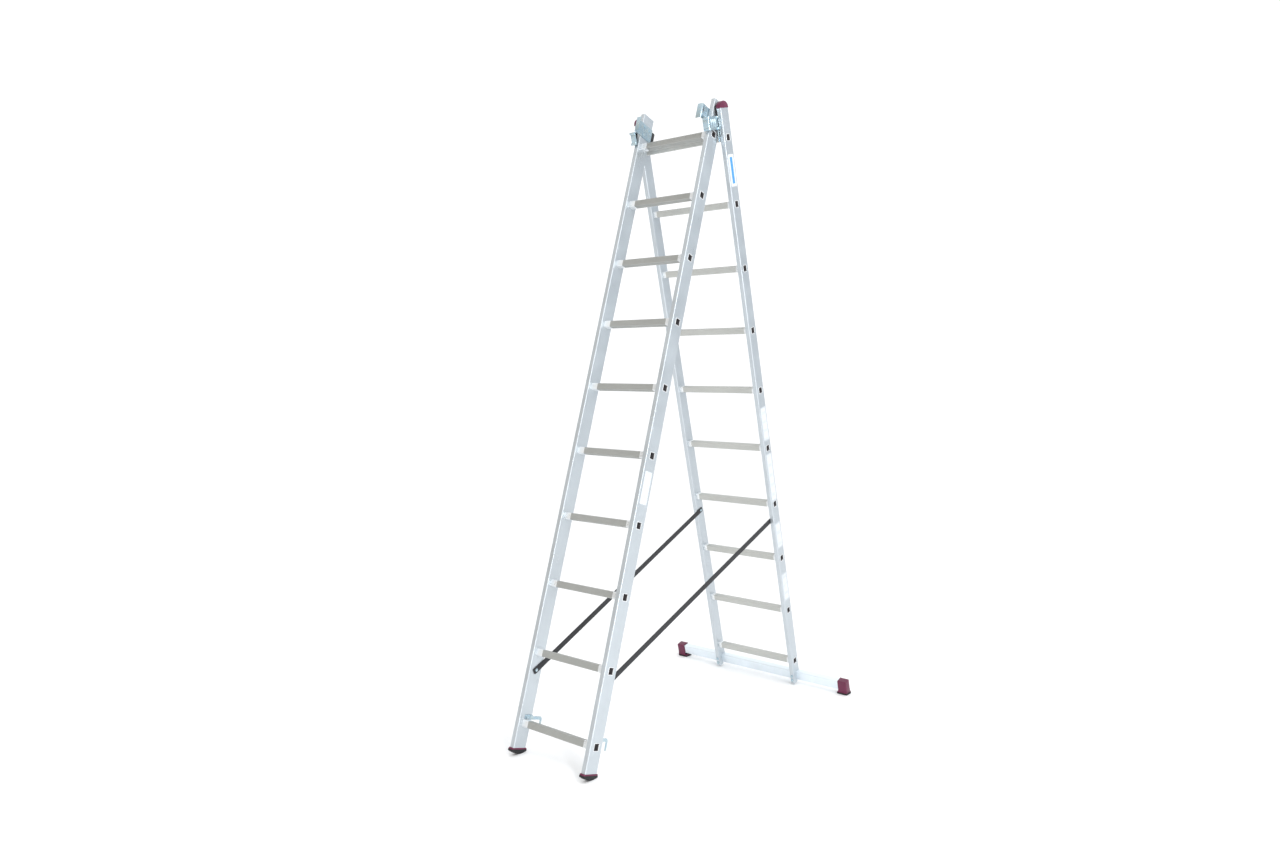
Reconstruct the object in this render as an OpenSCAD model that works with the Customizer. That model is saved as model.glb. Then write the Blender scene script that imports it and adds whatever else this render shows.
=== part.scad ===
// Aluminium combination ladder: two ten-rung sections that stand as a stepladder.
// The front section slides up through the guides of the rear section as an extension ladder.
// X runs across the rungs, the front section is at -Y, and the feet stand on Z = 0.

/* [Sections] */
// Distance between rung centres along a section
rung_pitch = 280; // [270:1:285]
// Outer width of the front section
front_width = 400; // [380:2:420]
// Free space between the two sections on each side
side_gap = 10; // [10:0.5:14]
// Lean of the front section from the vertical, in degrees
front_lean = 15.8; // [15.4:0.1:16.2]
// Lean of the rear section from the vertical, in degrees
rear_lean = 16.6; // [16.2:0.1:17]
// Height of the rear section's lowest rung above the ground
rear_rung_height = 126; // [124:0.5:134]

/* [Stiles] */
// Width of every stile across the ladder
stile_w = 22; // [20:0.5:24]
// Depth of the front stiles
front_depth = 70; // [66:1:74]
// Depth of the rear stiles
rear_depth = 59; // [56:1:61]
// Wall of the stile tube
stile_wall = 1.8; // [1.5:0.1:2.2]
// Front stile beyond the top rung
front_top = 150; // [140:1:160]
// Rear stile beyond the top rung
rear_top = 130; // [125:1:140]

/* [Rungs] */
// Side of the square rung
rung_size = 28; // [26:0.5:30]
// Corner radius of the rung
rung_corner = 4; // [2:0.5:5]
// Wall of the rung tube
rung_wall = 1.8; // [1.4:0.1:2.2]
// Swaged lip that stands proud of the stile
rung_lip = 1.5; // [1:0.1:1.6]

/* [Stabiliser bar] */
// Overall length of the bar with its end caps
bar_length = 1000; // [900:10:1100]
// Height of the bar
bar_height = 45; // [40:1:48]
// Depth of the bar
bar_depth = 30; // [28:1:32]
// Length of the end cap along the bar
bar_cap = 50; // [46:1:54]

/* [Feet] */
// Radius of the rounded sole under each front stile
sole_radius = 82; // [76:1:90]

/* [Fittings] */
// Thickness of the steel guide and hook plates
plate_t = 3; // [2.5:0.5:3]
// Width of the spreader strap
strap_w = 25; // [20:1:30]
// Distance up the front section to the strap rivet
strap_front_at = 209; // [200:1:220]
// Distance up the rear section to the strap rivet
strap_rear_at = 762; // [740:1:780]

/* [Hidden] */
rung_count = 10;
span = rung_pitch * (rung_count - 1);
fx = front_width / 2;
fi = fx - stile_w;
ri = fx + side_gap;
rx = ri + stile_w;
front_end = span + front_top;
rear_end = span + rear_top;
// Hinge line: the centre of the rear section's top rung, seen from the front section
hinge_back = front_depth / 2 + 27.4;
hinge_up = span + 15;
front_rung_height = rear_rung_height + span * cos(rear_lean)
    - hinge_up * cos(front_lean) + hinge_back * sin(front_lean);
// Front foot, measured along the front stile from the lowest rung
sole_centre = (sole_radius - front_rung_height) / cos(front_lean);
rim_half = front_depth / 2 + 6.5;
side_bottom = sole_centre - sqrt(sole_radius * sole_radius - rim_half * rim_half);
rim_bottom = side_bottom + 6;
stile_bottom = rim_bottom + 2;
// Stabiliser bar, measured in the rear section
bar_top = -64;
bar_front = -0.5;
sole_t = 8;
sole_back = 42;
tab_bottom = bar_top - bar_height - 8;
// Where the two sections stand, so that the footprint is centred
spread = hinge_up * sin(front_lean) + hinge_back * cos(front_lean) + span * sin(rear_lean);
front_reach = side_bottom * sin(front_lean) - rim_half * cos(front_lean);
rear_reach = (rear_rung_height + sole_back * sin(rear_lean)) * tan(rear_lean)
    + sole_back * cos(rear_lean);
front_y = -(front_reach + spread + rear_reach) / 2;
rear_y = front_y + spread;
// Guide brackets on the rear section
guide_bottom = span + 37;
guide_top = span + 92;
guide_front = hinge_back + front_depth / 2 + 1.1;
lip_inner = fi + 2;
// Saddles over the hinge rung
rung_reach = (rung_size / 2 - rung_corner) * sqrt(2) + rung_corner;
saddle_r = rung_reach + 0.5;
saddle_outer = min(saddle_r + 7.5, 26.4);
// Strap from the front rivet to the rear rivet
strap_t = 2;
strap_x0 = fi - 2.5;
strap_x1 = ri - 2;
strap_y0 = front_y + strap_front_at * sin(front_lean);
strap_z0 = front_rung_height + strap_front_at * cos(front_lean);
strap_y1 = rear_y - strap_rear_at * sin(rear_lean);
strap_z1 = rear_rung_height + strap_rear_at * cos(rear_lean);
strap_run = norm([strap_y1 - strap_y0, strap_z1 - strap_z0]);
strap_rise = atan2(strap_z1 - strap_z0, strap_y1 - strap_y0);
strap_splay = atan2(strap_x1 - strap_x0, strap_run);
strap_length = norm([strap_x1 - strap_x0, strap_run]);
strap_tail = 14;

aluminium = "#c9cfd3";
rung_grey = "#aeb2b0";
zinc = "#aab6bf";
burgundy = "#7d2c42";
rubber = "#2b2e33";
webbing = "#3d4046";
paper = "#eef0f1";

// Corner of a rounded outline, in two facets
function corner(x, y, r, a) = [for (k = [0:2]) [x + r * cos(a + 45 * k), y + r * sin(a + 45 * k)]];

// Rounded rectangle about the origin
function rounded(w, d, r) = concat(
    corner(w / 2 - r, d / 2 - r, r, 0),
    corner(r - w / 2, d / 2 - r, r, 90),
    corner(r - w / 2, r - d / 2, r, 180),
    corner(w / 2 - r, r - d / 2, r, 270)
);

// Height along the rear section where depth y meets the level z
function rear_level(y, z) = (z - rear_rung_height - y * sin(rear_lean)) / cos(rear_lean);

// Coordinates of the front section: Z up the stile, Y to its back
module front_frame() {
    translate([0, front_y, front_rung_height])
        rotate([-front_lean, 0, 0])
            children();
}

// Coordinates of the rear section: Z up the stile, Y to its back
module rear_frame() {
    translate([0, rear_y, rear_rung_height])
        rotate([rear_lean, 0, 0])
            children();
}

// The pieces are drawn for the right side; the left side is their mirror image
module side(s) {
    if (s > 0) {
        children();
    } else {
        mirror([1, 0, 0])
            children();
    }
}

module both_sides() {
    children();
    mirror([1, 0, 0])
        children();
}

// Extrusion of an outline in the Y-Z plane from x0 to x1
module across(x0, x1) {
    translate([x0, 0, 0])
        rotate([90, 0, 90])
            linear_extrude(x1 - x0)
                children();
}

// Round pin along X from x0 to x1
module pin(x0, x1, r) {
    translate([x0, 0, 0])
        rotate([0, 90, 0])
            cylinder(h = x1 - x0, r = r, $fn = 24);
}

module stile_tube(x0, depth, s0, s1) {
    translate([x0 + stile_w / 2, 0, s0])
        linear_extrude(s1 - s0)
            difference() {
                polygon(rounded(stile_w, depth, 2));
                square([stile_w - 2 * stile_wall, depth - 2 * stile_wall], center = true);
            }
}

module rung_holes(x0) {
    for (i = [0:rung_count - 1])
        translate([0, 0, i * rung_pitch])
            across(x0 - 1, x0 + stile_w + 1)
                polygon(rounded(rung_size, rung_size, rung_corner));
}

// Square grip rung, swaged on both sides of each stile
module rung(inner, outer) {
    bore = rung_size - 2 * rung_wall;
    difference() {
        union() {
            across(-inner, inner)
                difference() {
                    polygon(rounded(rung_size, rung_size, rung_corner));
                    for (a = [0:90:270], k = [-1, 1])
                        rotate(a)
                            translate([rung_size / 2 - 0.5, k * 4.5 - 0.6])
                                square([1, 1.2]);
                }
            both_sides() {
                across(inner, outer + rung_lip)
                    polygon(rounded(rung_size, rung_size, rung_corner));
                across(inner - rung_lip, inner)
                    polygon(rounded(rung_size + 3, rung_size + 3, rung_corner + 1.5));
                across(outer, outer + rung_lip)
                    polygon(rounded(rung_size + 4, rung_size + 4, rung_corner + 2));
            }
        }
        across(-outer - 5, outer + 5)
            polygon(rounded(bore, bore, rung_corner - 1.5));
    }
}

module front_rung(i) {
    color(rung_grey)
        front_frame()
            translate([0, 0, (i - 1) * rung_pitch])
                rung(fi, fx);
}

module rear_rung(i) {
    color(rung_grey)
        rear_frame()
            translate([0, 0, (i - 1) * rung_pitch])
                rung(ri, rx);
}

// Rivets of the guide bracket, as [depth, height]
guide_rivets = [for (y = [-14, 14], z = [guide_bottom + 12, guide_top - 12]) [y, z]];
// Rivets of the rung hook and the top hook plate
hook_rivets = [[2, 25], [21, 25]];
plate_rivets = [for (y = [-20, 20], z = [span + 52, span + 92]) [y, z]];
// Bolts of the stabiliser bar
bar_bolts = [bar_top - bar_height / 2 - 11, bar_top - bar_height / 2 + 11];

module rivet_holes(points, x0, x1, r) {
    for (p = points)
        translate([0, p[0], p[1]])
            pin(x0, x1, r);
}

module rear_stile(s) {
    color(aluminium)
        rear_frame()
            side(s)
                difference() {
                    stile_tube(ri, rear_depth, tab_bottom, rear_end);
                    rung_holes(ri);
                    translate([ri - 1, bar_front, tab_bottom - 1])
                        cube([stile_w + 2, rear_depth, bar_top - tab_bottom + 1]);
                    rivet_holes(guide_rivets, ri - 1, ri + stile_wall + 1, 2.4);
                    rivet_holes([[0, strap_rear_at]], ri - 1, ri + stile_wall + 1, 2.8);
                    for (z = bar_bolts)
                        translate([ri + stile_w / 2, -rear_depth / 2 - 1, z])
                            rotate([-90, 0, 0])
                                cylinder(h = stile_wall + 2, r = 4, $fn = 24);
                }
}

module front_stile(s) {
    color(aluminium)
        front_frame()
            side(s)
                difference() {
                    stile_tube(fi, front_depth, stile_bottom, front_end);
                    rung_holes(fi);
                    rivet_holes(hook_rivets, fi - 1, fi + stile_wall + 1, 2.4);
                    rivet_holes(plate_rivets, fi - 1, fi + stile_wall + 1, 2.4);
                    rivet_holes([[0, strap_front_at]], fi - 1, fi + stile_wall + 1, 2.8);
                }
}

// Domed plastic cap that plugs the top of a rear stile
module rear_top_cap(s) {
    half = rear_depth / 2 + 1.5;
    color(burgundy)
        rear_frame()
            side(s) {
                translate([ri + stile_wall, stile_wall - rear_depth / 2, rear_end - 30])
                    cube([stile_w - 2 * stile_wall, rear_depth - 2 * stile_wall, 30]);
                intersection() {
                    translate([0, 0, rear_end - 11.5])
                        pin(ri - 1.5, rx + 1.5, half + 0.5);
                    translate([ri - 2, -half, rear_end])
                        cube([stile_w + 4, 2 * half, half]);
                }
                translate([ri + stile_w / 2, 0, rear_end - 10])
                    linear_extrude(10)
                        difference() {
                            square([stile_w + 3, 2 * half], center = true);
                            polygon(rounded(stile_w, rear_depth, 2));
                        }
            }
}

// Plastic glide blocks that keep the sliding section off the caps
module rear_cap_glides() {
    color(rubber)
        rear_frame()
            both_sides() {
                translate([ri - 6.5, 0.5 - rear_depth / 2, guide_top + 1])
                    cube([6.5, 19, rear_end - 10 - guide_top - 1]);
                translate([ri - 6.5, 0.5 - rear_depth / 2, rear_end - 10])
                    cube([5, 19, 15]);
            }
}

module bar_outline() {
    translate([bar_front + bar_depth / 2, bar_top - bar_height / 2])
        polygon(rounded(bar_depth, bar_height, 3));
}

module crossbar_tube() {
    reach = bar_length / 2 - bar_cap + 18;
    color(aluminium)
        rear_frame()
            difference() {
                across(-reach, reach)
                    difference() {
                        bar_outline();
                        translate([bar_front + 2, bar_top - bar_height + 2])
                            square([bar_depth - 4, bar_height - 4]);
                    }
                both_sides()
                    for (z = bar_bolts)
                        translate([ri + stile_w / 2, bar_front - 1, z])
                            rotate([-90, 0, 0])
                                cylinder(h = bar_depth + 2, r = 4, $fn = 24);
            }
}

// Plastic end cap with a pocket for the bar, cut level above the ground
module crossbar_end_cap(s) {
    x0 = bar_length / 2 - bar_cap;
    color(burgundy)
        rear_frame()
            side(s)
                difference() {
                    union() {
                        across(x0 + 6, bar_length / 2)
                            polygon([
                                [-1.5, bar_top + 3], [bar_depth + 2, bar_top + 3],
                                [bar_depth + 4, bar_top], [bar_depth + 4, bar_top - bar_height],
                                [sole_back - 1, rear_level(sole_back - 1, sole_t)],
                                [-6, rear_level(-6, sole_t)],
                                [-3.5, bar_top - bar_height], [-3.5, bar_top]
                            ]);
                        across(x0, bar_length / 2)
                            polygon([
                                [-6, rear_level(-6, sole_t + 5)],
                                [sole_back - 1, rear_level(sole_back - 1, sole_t + 5)],
                                [sole_back - 1, rear_level(sole_back - 1, sole_t)],
                                [-6, rear_level(-6, sole_t)]
                            ]);
                    }
                    across(x0 - 1, x0 + 18)
                        bar_outline();
                }
}

module crossbar_sole(s) {
    color(rubber)
        rear_frame()
            side(s)
                across(bar_length / 2 - bar_cap, bar_length / 2)
                    polygon([
                        [-7, rear_level(-7, sole_t)], [-7, rear_level(-7, 0)],
                        [sole_back, rear_level(sole_back, 0)],
                        [sole_back, rear_level(sole_back, sole_t)]
                    ]);
}

module crossbar_bolts() {
    color(zinc)
        rear_frame()
            both_sides()
                for (z = bar_bolts)
                    translate([ri + stile_w / 2, 0, z])
                        rotate([-90, 0, 0]) {
                            translate([0, 0, -rear_depth / 2 - 4])
                                cylinder(h = 4, r = 7, $fn = 24);
                            translate([0, 0, -rear_depth / 2])
                                cylinder(h = rear_depth / 2 + bar_depth + bar_front, r = 4, $fn = 24);
                            translate([0, 0, bar_depth + bar_front])
                                cylinder(h = 5, r = 7, $fn = 6);
                        }
}

// Steel channel that wraps round the front stile when the sections lie together
module guide_bracket(s) {
    height = guide_top - guide_bottom;
    color(zinc)
        rear_frame()
            side(s)
                difference() {
                    union() {
                        translate([ri - plate_t, -guide_front, guide_bottom])
                            cube([plate_t, guide_front + 25, height]);
                        translate([lip_inner, -guide_front - plate_t, guide_bottom])
                            cube([ri - lip_inner, plate_t, height]);
                        for (z = [guide_bottom, guide_top - 10]) {
                            translate([lip_inner, -guide_front - plate_t - 4.5, z])
                                cube([ri + 5 - lip_inner, 4.5 + plate_t / 2, 10]);
                            translate([ri - 0.5, -guide_front - plate_t - 4.5, z])
                                cube([5.5, guide_front + plate_t + 4.5 - rear_depth / 2 - 3, 10]);
                            translate([ri - 0.5, -rear_depth / 2 - 10, z])
                                cube([16.5, 7, 10]);
                        }
                        for (y = [-48, -60, -72, -84])
                            translate([ri, y - 2, guide_bottom])
                                cube([2, 4, height]);
                        translate([ri - plate_t, -39, guide_bottom - 51])
                            cube([plate_t, 9, 52]);
                    }
                    rivet_holes(guide_rivets, ri - plate_t - 1, ri + 1, 2.4);
                }
}

module guide_bracket_pads() {
    color(rubber)
        rear_frame()
            both_sides()
                translate([ri - plate_t - 3.5, -92, guide_bottom + 6])
                    cube([3.5, 56, guide_top - guide_bottom - 12]);
}

// Blind rivet: shank to the right of x, head to the left
module rivet(x, grip, r) {
    pin(x, x + grip, r);
    pin(x - 1.6, x, 2.1 * r);
}

module guide_bracket_rivets() {
    color(zinc)
        rear_frame()
            both_sides()
                for (p = guide_rivets)
                    translate([0, p[0], p[1]])
                        rivet(ri - plate_t, plate_t + stile_wall, 2.4);
}

// Webbing strap that stops the sections from spreading
module strap(s) {
    color(webbing)
        side(s)
            translate([strap_x0, strap_y0, strap_z0])
                rotate([strap_rise, 0, 0])
                    rotate([0, 0, -strap_splay])
                        difference() {
                            translate([-strap_t / 2, -strap_tail, -strap_w / 2])
                                cube([strap_t, strap_length + 2 * strap_tail, strap_w]);
                            for (y = [0, strap_length])
                                translate([0, y, 0])
                                    pin(-5, 5, 3.2);
                        }
}

module strap_rivets_rear() {
    color(zinc)
        rear_frame()
            both_sides()
                translate([0, 0, strap_rear_at]) {
                    pin(strap_x1 - 1.8, ri + stile_wall, 2.8);
                    pin(strap_x1 - 4, strap_x1 - 1.5, 7);
                }
}

module labels_rear() {
    color(paper)
        rear_frame()
            for (r = [[338, 476], [617, 742], [859, 1091], [1159, 1318], [2315, 2450]])
                translate([0, 0, (r[0] + r[1]) / 2])
                    across(rx, rx + 0.3)
                        polygon(rounded(44, r[1] - r[0], 3));
}

// Half shell over the hinge rung, with a guide block behind the front stile
module hinge_saddle(s) {
    x0 = fi - 2;
    x1 = fx - 2;
    color(rubber)
        front_frame()
            side(s)
                translate([0, hinge_back, hinge_up])
                    difference() {
                        union() {
                            intersection() {
                                pin(x0, x1, saddle_outer);
                                translate([x0 - 1, -saddle_outer, 0])
                                    cube([x1 - x0 + 2, 2 * saddle_outer, saddle_outer]);
                            }
                            translate([x0, 1 + front_depth / 2 - hinge_back, 0])
                                cube([x1 - x0, 20, 82]);
                        }
                        pin(x0 - 1, x1 + 1, saddle_r);
                    }
}

// Plastic rim and plug at the bottom of a front stile
module foot_cap(s) {
    color(burgundy)
        front_frame()
            side(s) {
                translate([fi - 1.5, -rim_half, rim_bottom])
                    cube([stile_w + 3, 2 * rim_half, stile_bottom - rim_bottom]);
                translate([fx - stile_w / 2, 0, stile_bottom])
                    linear_extrude(4)
                        difference() {
                            square([stile_w + 3, 2 * rim_half], center = true);
                            polygon(rounded(stile_w, front_depth, 2));
                        }
                translate([fi + stile_wall, stile_wall - front_depth / 2, stile_bottom])
                    cube([stile_w - 2 * stile_wall, front_depth - 2 * stile_wall, 30]);
            }
}

// Rubber sole with a convex tread
module foot_sole(s) {
    color(rubber)
        front_frame()
            side(s)
                intersection() {
                    translate([0, 0, sole_centre])
                        pin(fi - 1.5, fx + 1.5, sole_radius);
                    translate([fi - 2, -rim_half, sole_centre - sole_radius - 1])
                        cube([stile_w + 4, 2 * rim_half, rim_bottom - sole_centre + sole_radius + 1]);
                }
}

// Steel hook that drops over a rung of the other section
module rung_hook(s) {
    color(zinc)
        front_frame()
            side(s)
                difference() {
                    across(fi - 4, fi)
                        polygon([
                            [-6, 17], [17, 17], [20, 14], [81, 14], [83, 12], [83, -21], [91, -21],
                            [92, 20], [85, 27], [37, 27], [31, 33], [-6, 33]
                        ]);
                    rivet_holes(hook_rivets, fi - 5, fi + 1, 2.4);
                }
}

module rung_hook_rivets() {
    color(zinc)
        front_frame()
            both_sides()
                for (p = hook_rivets)
                    translate([0, p[0], p[1]])
                        rivet(fi - 4, 4 + stile_wall, 2.4);
}

// Steel plate inside the top of a front stile, with its lip turned inward
module top_hook_plate(s) {
    z0 = span + 40;
    color(zinc)
        front_frame()
            side(s)
                difference() {
                    union() {
                        translate([fi - plate_t, -80, z0])
                            cube([plate_t, 80 + front_depth / 2, 64]);
                        translate([fi - plate_t - 23, -80 - plate_t, z0])
                            cube([23 + plate_t, plate_t, 64]);
                    }
                    rivet_holes(plate_rivets, fi - plate_t - 1, fi + 1, 2.4);
                }
}

module top_hook_plate_rivets() {
    color(zinc)
        front_frame()
            both_sides()
                for (p = plate_rivets)
                    translate([0, p[0], p[1]])
                        rivet(fi - plate_t, plate_t + stile_wall, 2.4);
}

module strap_rivets_front() {
    color(zinc)
        front_frame()
            both_sides()
                translate([0, 0, strap_front_at]) {
                    pin(fi - 4.2, fi + stile_wall, 2.8);
                    pin(fi - 1, fi, 8);
                    pin(fi - 6.5, fi - 4, 7);
                }
}

module label_front() {
    color(paper)
        front_frame()
            translate([0, 0, 989.5])
                across(fx, fx + 0.3)
                    polygon(rounded(44, 131, 3));
}

rear_stile(-1);  // rear_stile_left
rear_stile(1);  // rear_stile_right
rear_rung(1);  // rear_rung_1
rear_rung(2);  // rear_rung_2
rear_rung(3);  // rear_rung_3
rear_rung(4);  // rear_rung_4
rear_rung(5);  // rear_rung_5
rear_rung(6);  // rear_rung_6
rear_rung(7);  // rear_rung_7
rear_rung(8);  // rear_rung_8
rear_rung(9);  // rear_rung_9
rear_rung(10);  // rear_rung_10
rear_top_cap(-1);  // rear_top_cap_left
rear_top_cap(1);  // rear_top_cap_right
rear_cap_glides();
crossbar_tube();
crossbar_end_cap(-1);  // crossbar_end_cap_left
crossbar_end_cap(1);  // crossbar_end_cap_right
crossbar_sole(-1);  // crossbar_sole_left
crossbar_sole(1);  // crossbar_sole_right
crossbar_bolts();
guide_bracket(-1);  // guide_bracket_left
guide_bracket(1);  // guide_bracket_right
guide_bracket_pads();
guide_bracket_rivets();
strap(-1);  // strap_left
strap(1);  // strap_right
strap_rivets_rear();
labels_rear();
hinge_saddle(-1);  // hinge_saddle_left
hinge_saddle(1);  // hinge_saddle_right
front_stile(-1);  // front_stile_left
front_stile(1);  // front_stile_right
front_rung(1);  // front_rung_1
front_rung(2);  // front_rung_2
front_rung(3);  // front_rung_3
front_rung(4);  // front_rung_4
front_rung(5);  // front_rung_5
front_rung(6);  // front_rung_6
front_rung(7);  // front_rung_7
front_rung(8);  // front_rung_8
front_rung(9);  // front_rung_9
front_rung(10);  // front_rung_10
foot_cap(-1);  // foot_cap_left
foot_cap(1);  // foot_cap_right
foot_sole(-1);  // foot_sole_left
foot_sole(1);  // foot_sole_right
rung_hook(-1);  // rung_hook_left
rung_hook(1);  // rung_hook_right
rung_hook_rivets();
top_hook_plate(-1);  // top_hook_plate_left
top_hook_plate(1);  // top_hook_plate_right
top_hook_plate_rivets();
strap_rivets_front();
label_front();
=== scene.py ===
import math

import bmesh
import bpy
from mathutils import Matrix, Vector


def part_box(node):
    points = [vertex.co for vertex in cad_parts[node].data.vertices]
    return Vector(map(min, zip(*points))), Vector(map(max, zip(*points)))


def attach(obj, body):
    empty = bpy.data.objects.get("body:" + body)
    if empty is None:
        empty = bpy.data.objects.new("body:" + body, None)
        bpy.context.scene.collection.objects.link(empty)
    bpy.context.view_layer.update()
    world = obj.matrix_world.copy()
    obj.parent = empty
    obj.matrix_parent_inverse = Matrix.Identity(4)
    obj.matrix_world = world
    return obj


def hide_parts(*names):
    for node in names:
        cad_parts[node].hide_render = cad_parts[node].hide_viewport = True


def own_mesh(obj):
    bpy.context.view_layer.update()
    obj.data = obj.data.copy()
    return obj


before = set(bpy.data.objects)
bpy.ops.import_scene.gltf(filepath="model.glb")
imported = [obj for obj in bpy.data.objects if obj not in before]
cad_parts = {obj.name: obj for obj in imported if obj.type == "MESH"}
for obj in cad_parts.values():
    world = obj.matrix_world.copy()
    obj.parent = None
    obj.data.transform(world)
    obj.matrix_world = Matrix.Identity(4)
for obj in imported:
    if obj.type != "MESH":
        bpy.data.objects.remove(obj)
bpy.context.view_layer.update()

# Every length below is in metres. Each section has its own frame: X across, Y to the back of the stile,
# Z up the stile from the lowest rung's centre. These repeat the CAD source's own dimensions.
FRONT_LEAN = math.radians(15.8)
REAR_LEAN = math.radians(16.6)
RUNGS = 10
PITCH = 0.280
SPAN = (RUNGS - 1) * PITCH
STILE = 0.022
FRONT_OUT, REAR_OUT = 0.200, 0.232
FRONT_IN, REAR_IN = FRONT_OUT - STILE, REAR_OUT - STILE
FRONT_DEPTH, REAR_DEPTH = 0.070, 0.059
WALL = 0.0018
RUNG = 0.028
LIP = 0.0015
HINGE_BACK, HINGE_UP = 0.0624, SPAN + 0.015
REAR_FOOT_Z = 0.126
FRONT_TOP, REAR_TOP = 0.150, 0.130
BAR_HALF, BAR_CAP = 0.500, 0.050
PLATE, HOOK = 0.003, 0.004
STRAP_FRONT, STRAP_REAR = 0.209, 0.762
STRAP_WIDTH, STRAP_TAIL = 0.025, 0.014

# The hinge line is the centre of the rear section's top rung, and both sections hang from it
low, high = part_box("rear_rung_10")
hinge = (low + high) / 2
rear_place = Matrix.Translation(
    (0, hinge.y + SPAN * math.sin(REAR_LEAN), hinge.z - SPAN * math.cos(REAR_LEAN))
) @ Matrix.Rotation(REAR_LEAN, 4, "X")
front_turn = Matrix.Rotation(-FRONT_LEAN, 4, "X")
front_place = Matrix.Translation(hinge - front_turn @ Vector((0, HINGE_BACK, HINGE_UP))) @ front_turn


# ---------------------------------------------------------------- materials


def shader(name, colour, roughness, metallic=0.0):
    """A new material with its own nodes; returns (material, nodes, links, principled shader)."""
    m = bpy.data.materials.new(name)
    m.use_nodes = True
    nodes, links = m.node_tree.nodes, m.node_tree.links
    p = nodes["Principled BSDF"]
    p.inputs["Base Color"].default_value = (*colour, 1)
    p.inputs["Roughness"].default_value = roughness
    p.inputs["Metallic"].default_value = metallic
    return m, nodes, links, p


def noise(nodes, links, scale, stretch=(1, 1, 1), detail=4.0, rough=0.55, lean=0.0):
    """Noise stretched along the axes of a section that leans about X."""
    coords = nodes.new("ShaderNodeTexCoord")
    mapping = nodes.new("ShaderNodeMapping")
    mapping.vector_type = "TEXTURE"
    mapping.inputs["Rotation"].default_value = (lean, 0, 0)
    mapping.inputs["Scale"].default_value = [1 / v for v in stretch]
    tex = nodes.new("ShaderNodeTexNoise")
    tex.inputs["Scale"].default_value = scale
    tex.inputs["Detail"].default_value = detail
    tex.inputs["Roughness"].default_value = rough
    links.new(coords.outputs["Object"], mapping.inputs["Vector"])
    links.new(mapping.outputs["Vector"], tex.inputs["Vector"])
    return tex.outputs["Fac"]


def spread(nodes, links, fac, low, high, start=0.3, end=0.7):
    """Maps fac from start..end to low..high."""
    r = nodes.new("ShaderNodeMapRange")
    r.inputs["From Min"].default_value = start
    r.inputs["From Max"].default_value = end
    r.inputs["To Min"].default_value = low
    r.inputs["To Max"].default_value = high
    links.new(fac, r.inputs["Value"])
    return r.outputs["Result"]


def tint(nodes, links, fac, dark, light):
    """Mixes two colours by fac. dark is a colour or a socket."""
    mix = nodes.new("ShaderNodeMix")
    mix.data_type = "RGBA"
    if isinstance(dark, tuple):
        mix.inputs["A"].default_value = (*dark, 1)
    else:
        links.new(dark, mix.inputs["A"])
    mix.inputs["B"].default_value = (*light, 1)
    links.new(fac, mix.inputs["Factor"])
    return mix.outputs["Result"]


def arithmetic(nodes, links, operation, *values):
    """A math node. Each value is a number or a socket."""
    node = nodes.new("ShaderNodeMath")
    node.operation = operation
    for socket, value in zip(node.inputs, values):
        if isinstance(value, (int, float)):
            socket.default_value = value
        else:
            links.new(value, socket)
    return node.outputs["Value"]


def relief(nodes, links, p, fac, distance, strength):
    """Bumps the shader's normal by fac."""
    bump = nodes.new("ShaderNodeBump")
    bump.inputs["Distance"].default_value = distance
    bump.inputs["Strength"].default_value = strength
    links.new(fac, bump.inputs["Height"])
    links.new(bump.outputs["Normal"], p.inputs["Normal"])


def shade(colour, k):
    """A colour made k times as bright, up to white."""
    return tuple(min(1.0, c * k) for c in colour)


def extruded(name, colour, roughness, grain, lean=0.0, metallic=0.75):
    """Mill-finish aluminium: fine die lines along the extrusion, handling smudges, faint scratches."""
    m, nodes, links, p = shader(name, colour, roughness, metallic)
    lines = noise(nodes, links, 1.0, grain, 5.0, 0.6, lean)
    cloud = noise(nodes, links, 9.0, (1, 1, 1), 3.0, 0.5)
    half = spread(nodes, links, cloud, 0.1, 0.55)
    fac = arithmetic(nodes, links, "MULTIPLY_ADD", lines, 0.45, half)
    links.new(tint(nodes, links, fac, shade(colour, 0.90), shade(colour, 1.07)), p.inputs["Base Color"])
    links.new(spread(nodes, links, fac, roughness - 0.07, roughness + 0.09), p.inputs["Roughness"])
    relief(nodes, links, p, lines, 0.00012, 0.35)
    return m


def plated(name, colour, roughness):
    """Zinc plate: faint blue and yellow passivation clouds, and spangle in the roughness."""
    m, nodes, links, p = shader(name, colour, roughness, 0.9)
    cloud = noise(nodes, links, 55.0, (1, 1, 1), 3.0, 0.6)
    fine = noise(nodes, links, 700.0, (1, 1, 1), 2.0, 0.5)
    blue = (colour[0] * 0.86, colour[1] * 0.97, colour[2] * 1.05)
    warm = (colour[0] * 1.10, colour[1] * 1.06, colour[2] * 0.98)
    links.new(tint(nodes, links, spread(nodes, links, cloud, 0, 1), blue, warm), p.inputs["Base Color"])
    links.new(spread(nodes, links, fine, roughness - 0.08, roughness + 0.12), p.inputs["Roughness"])
    relief(nodes, links, p, fine, 0.0001, 0.3)
    return m


def moulded(name, colour, roughness, pebble=900.0, height=0.0002, strength=0.45):
    """Moulded plastic or rubber: spark-eroded grain, slight fading and scuffs."""
    m, nodes, links, p = shader(name, colour, roughness)
    grain = noise(nodes, links, pebble, (1, 1, 1), 3.0, 0.6)
    cloud = noise(nodes, links, 30.0, (1, 1, 1), 4.0, 0.6)
    faded = tint(nodes, links, spread(nodes, links, cloud, 0, 1), shade(colour, 0.86), shade(colour, 1.2))
    links.new(faded, p.inputs["Base Color"])
    links.new(spread(nodes, links, cloud, roughness - 0.06, roughness + 0.1), p.inputs["Roughness"])
    relief(nodes, links, p, grain, height, strength)
    return m


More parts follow.
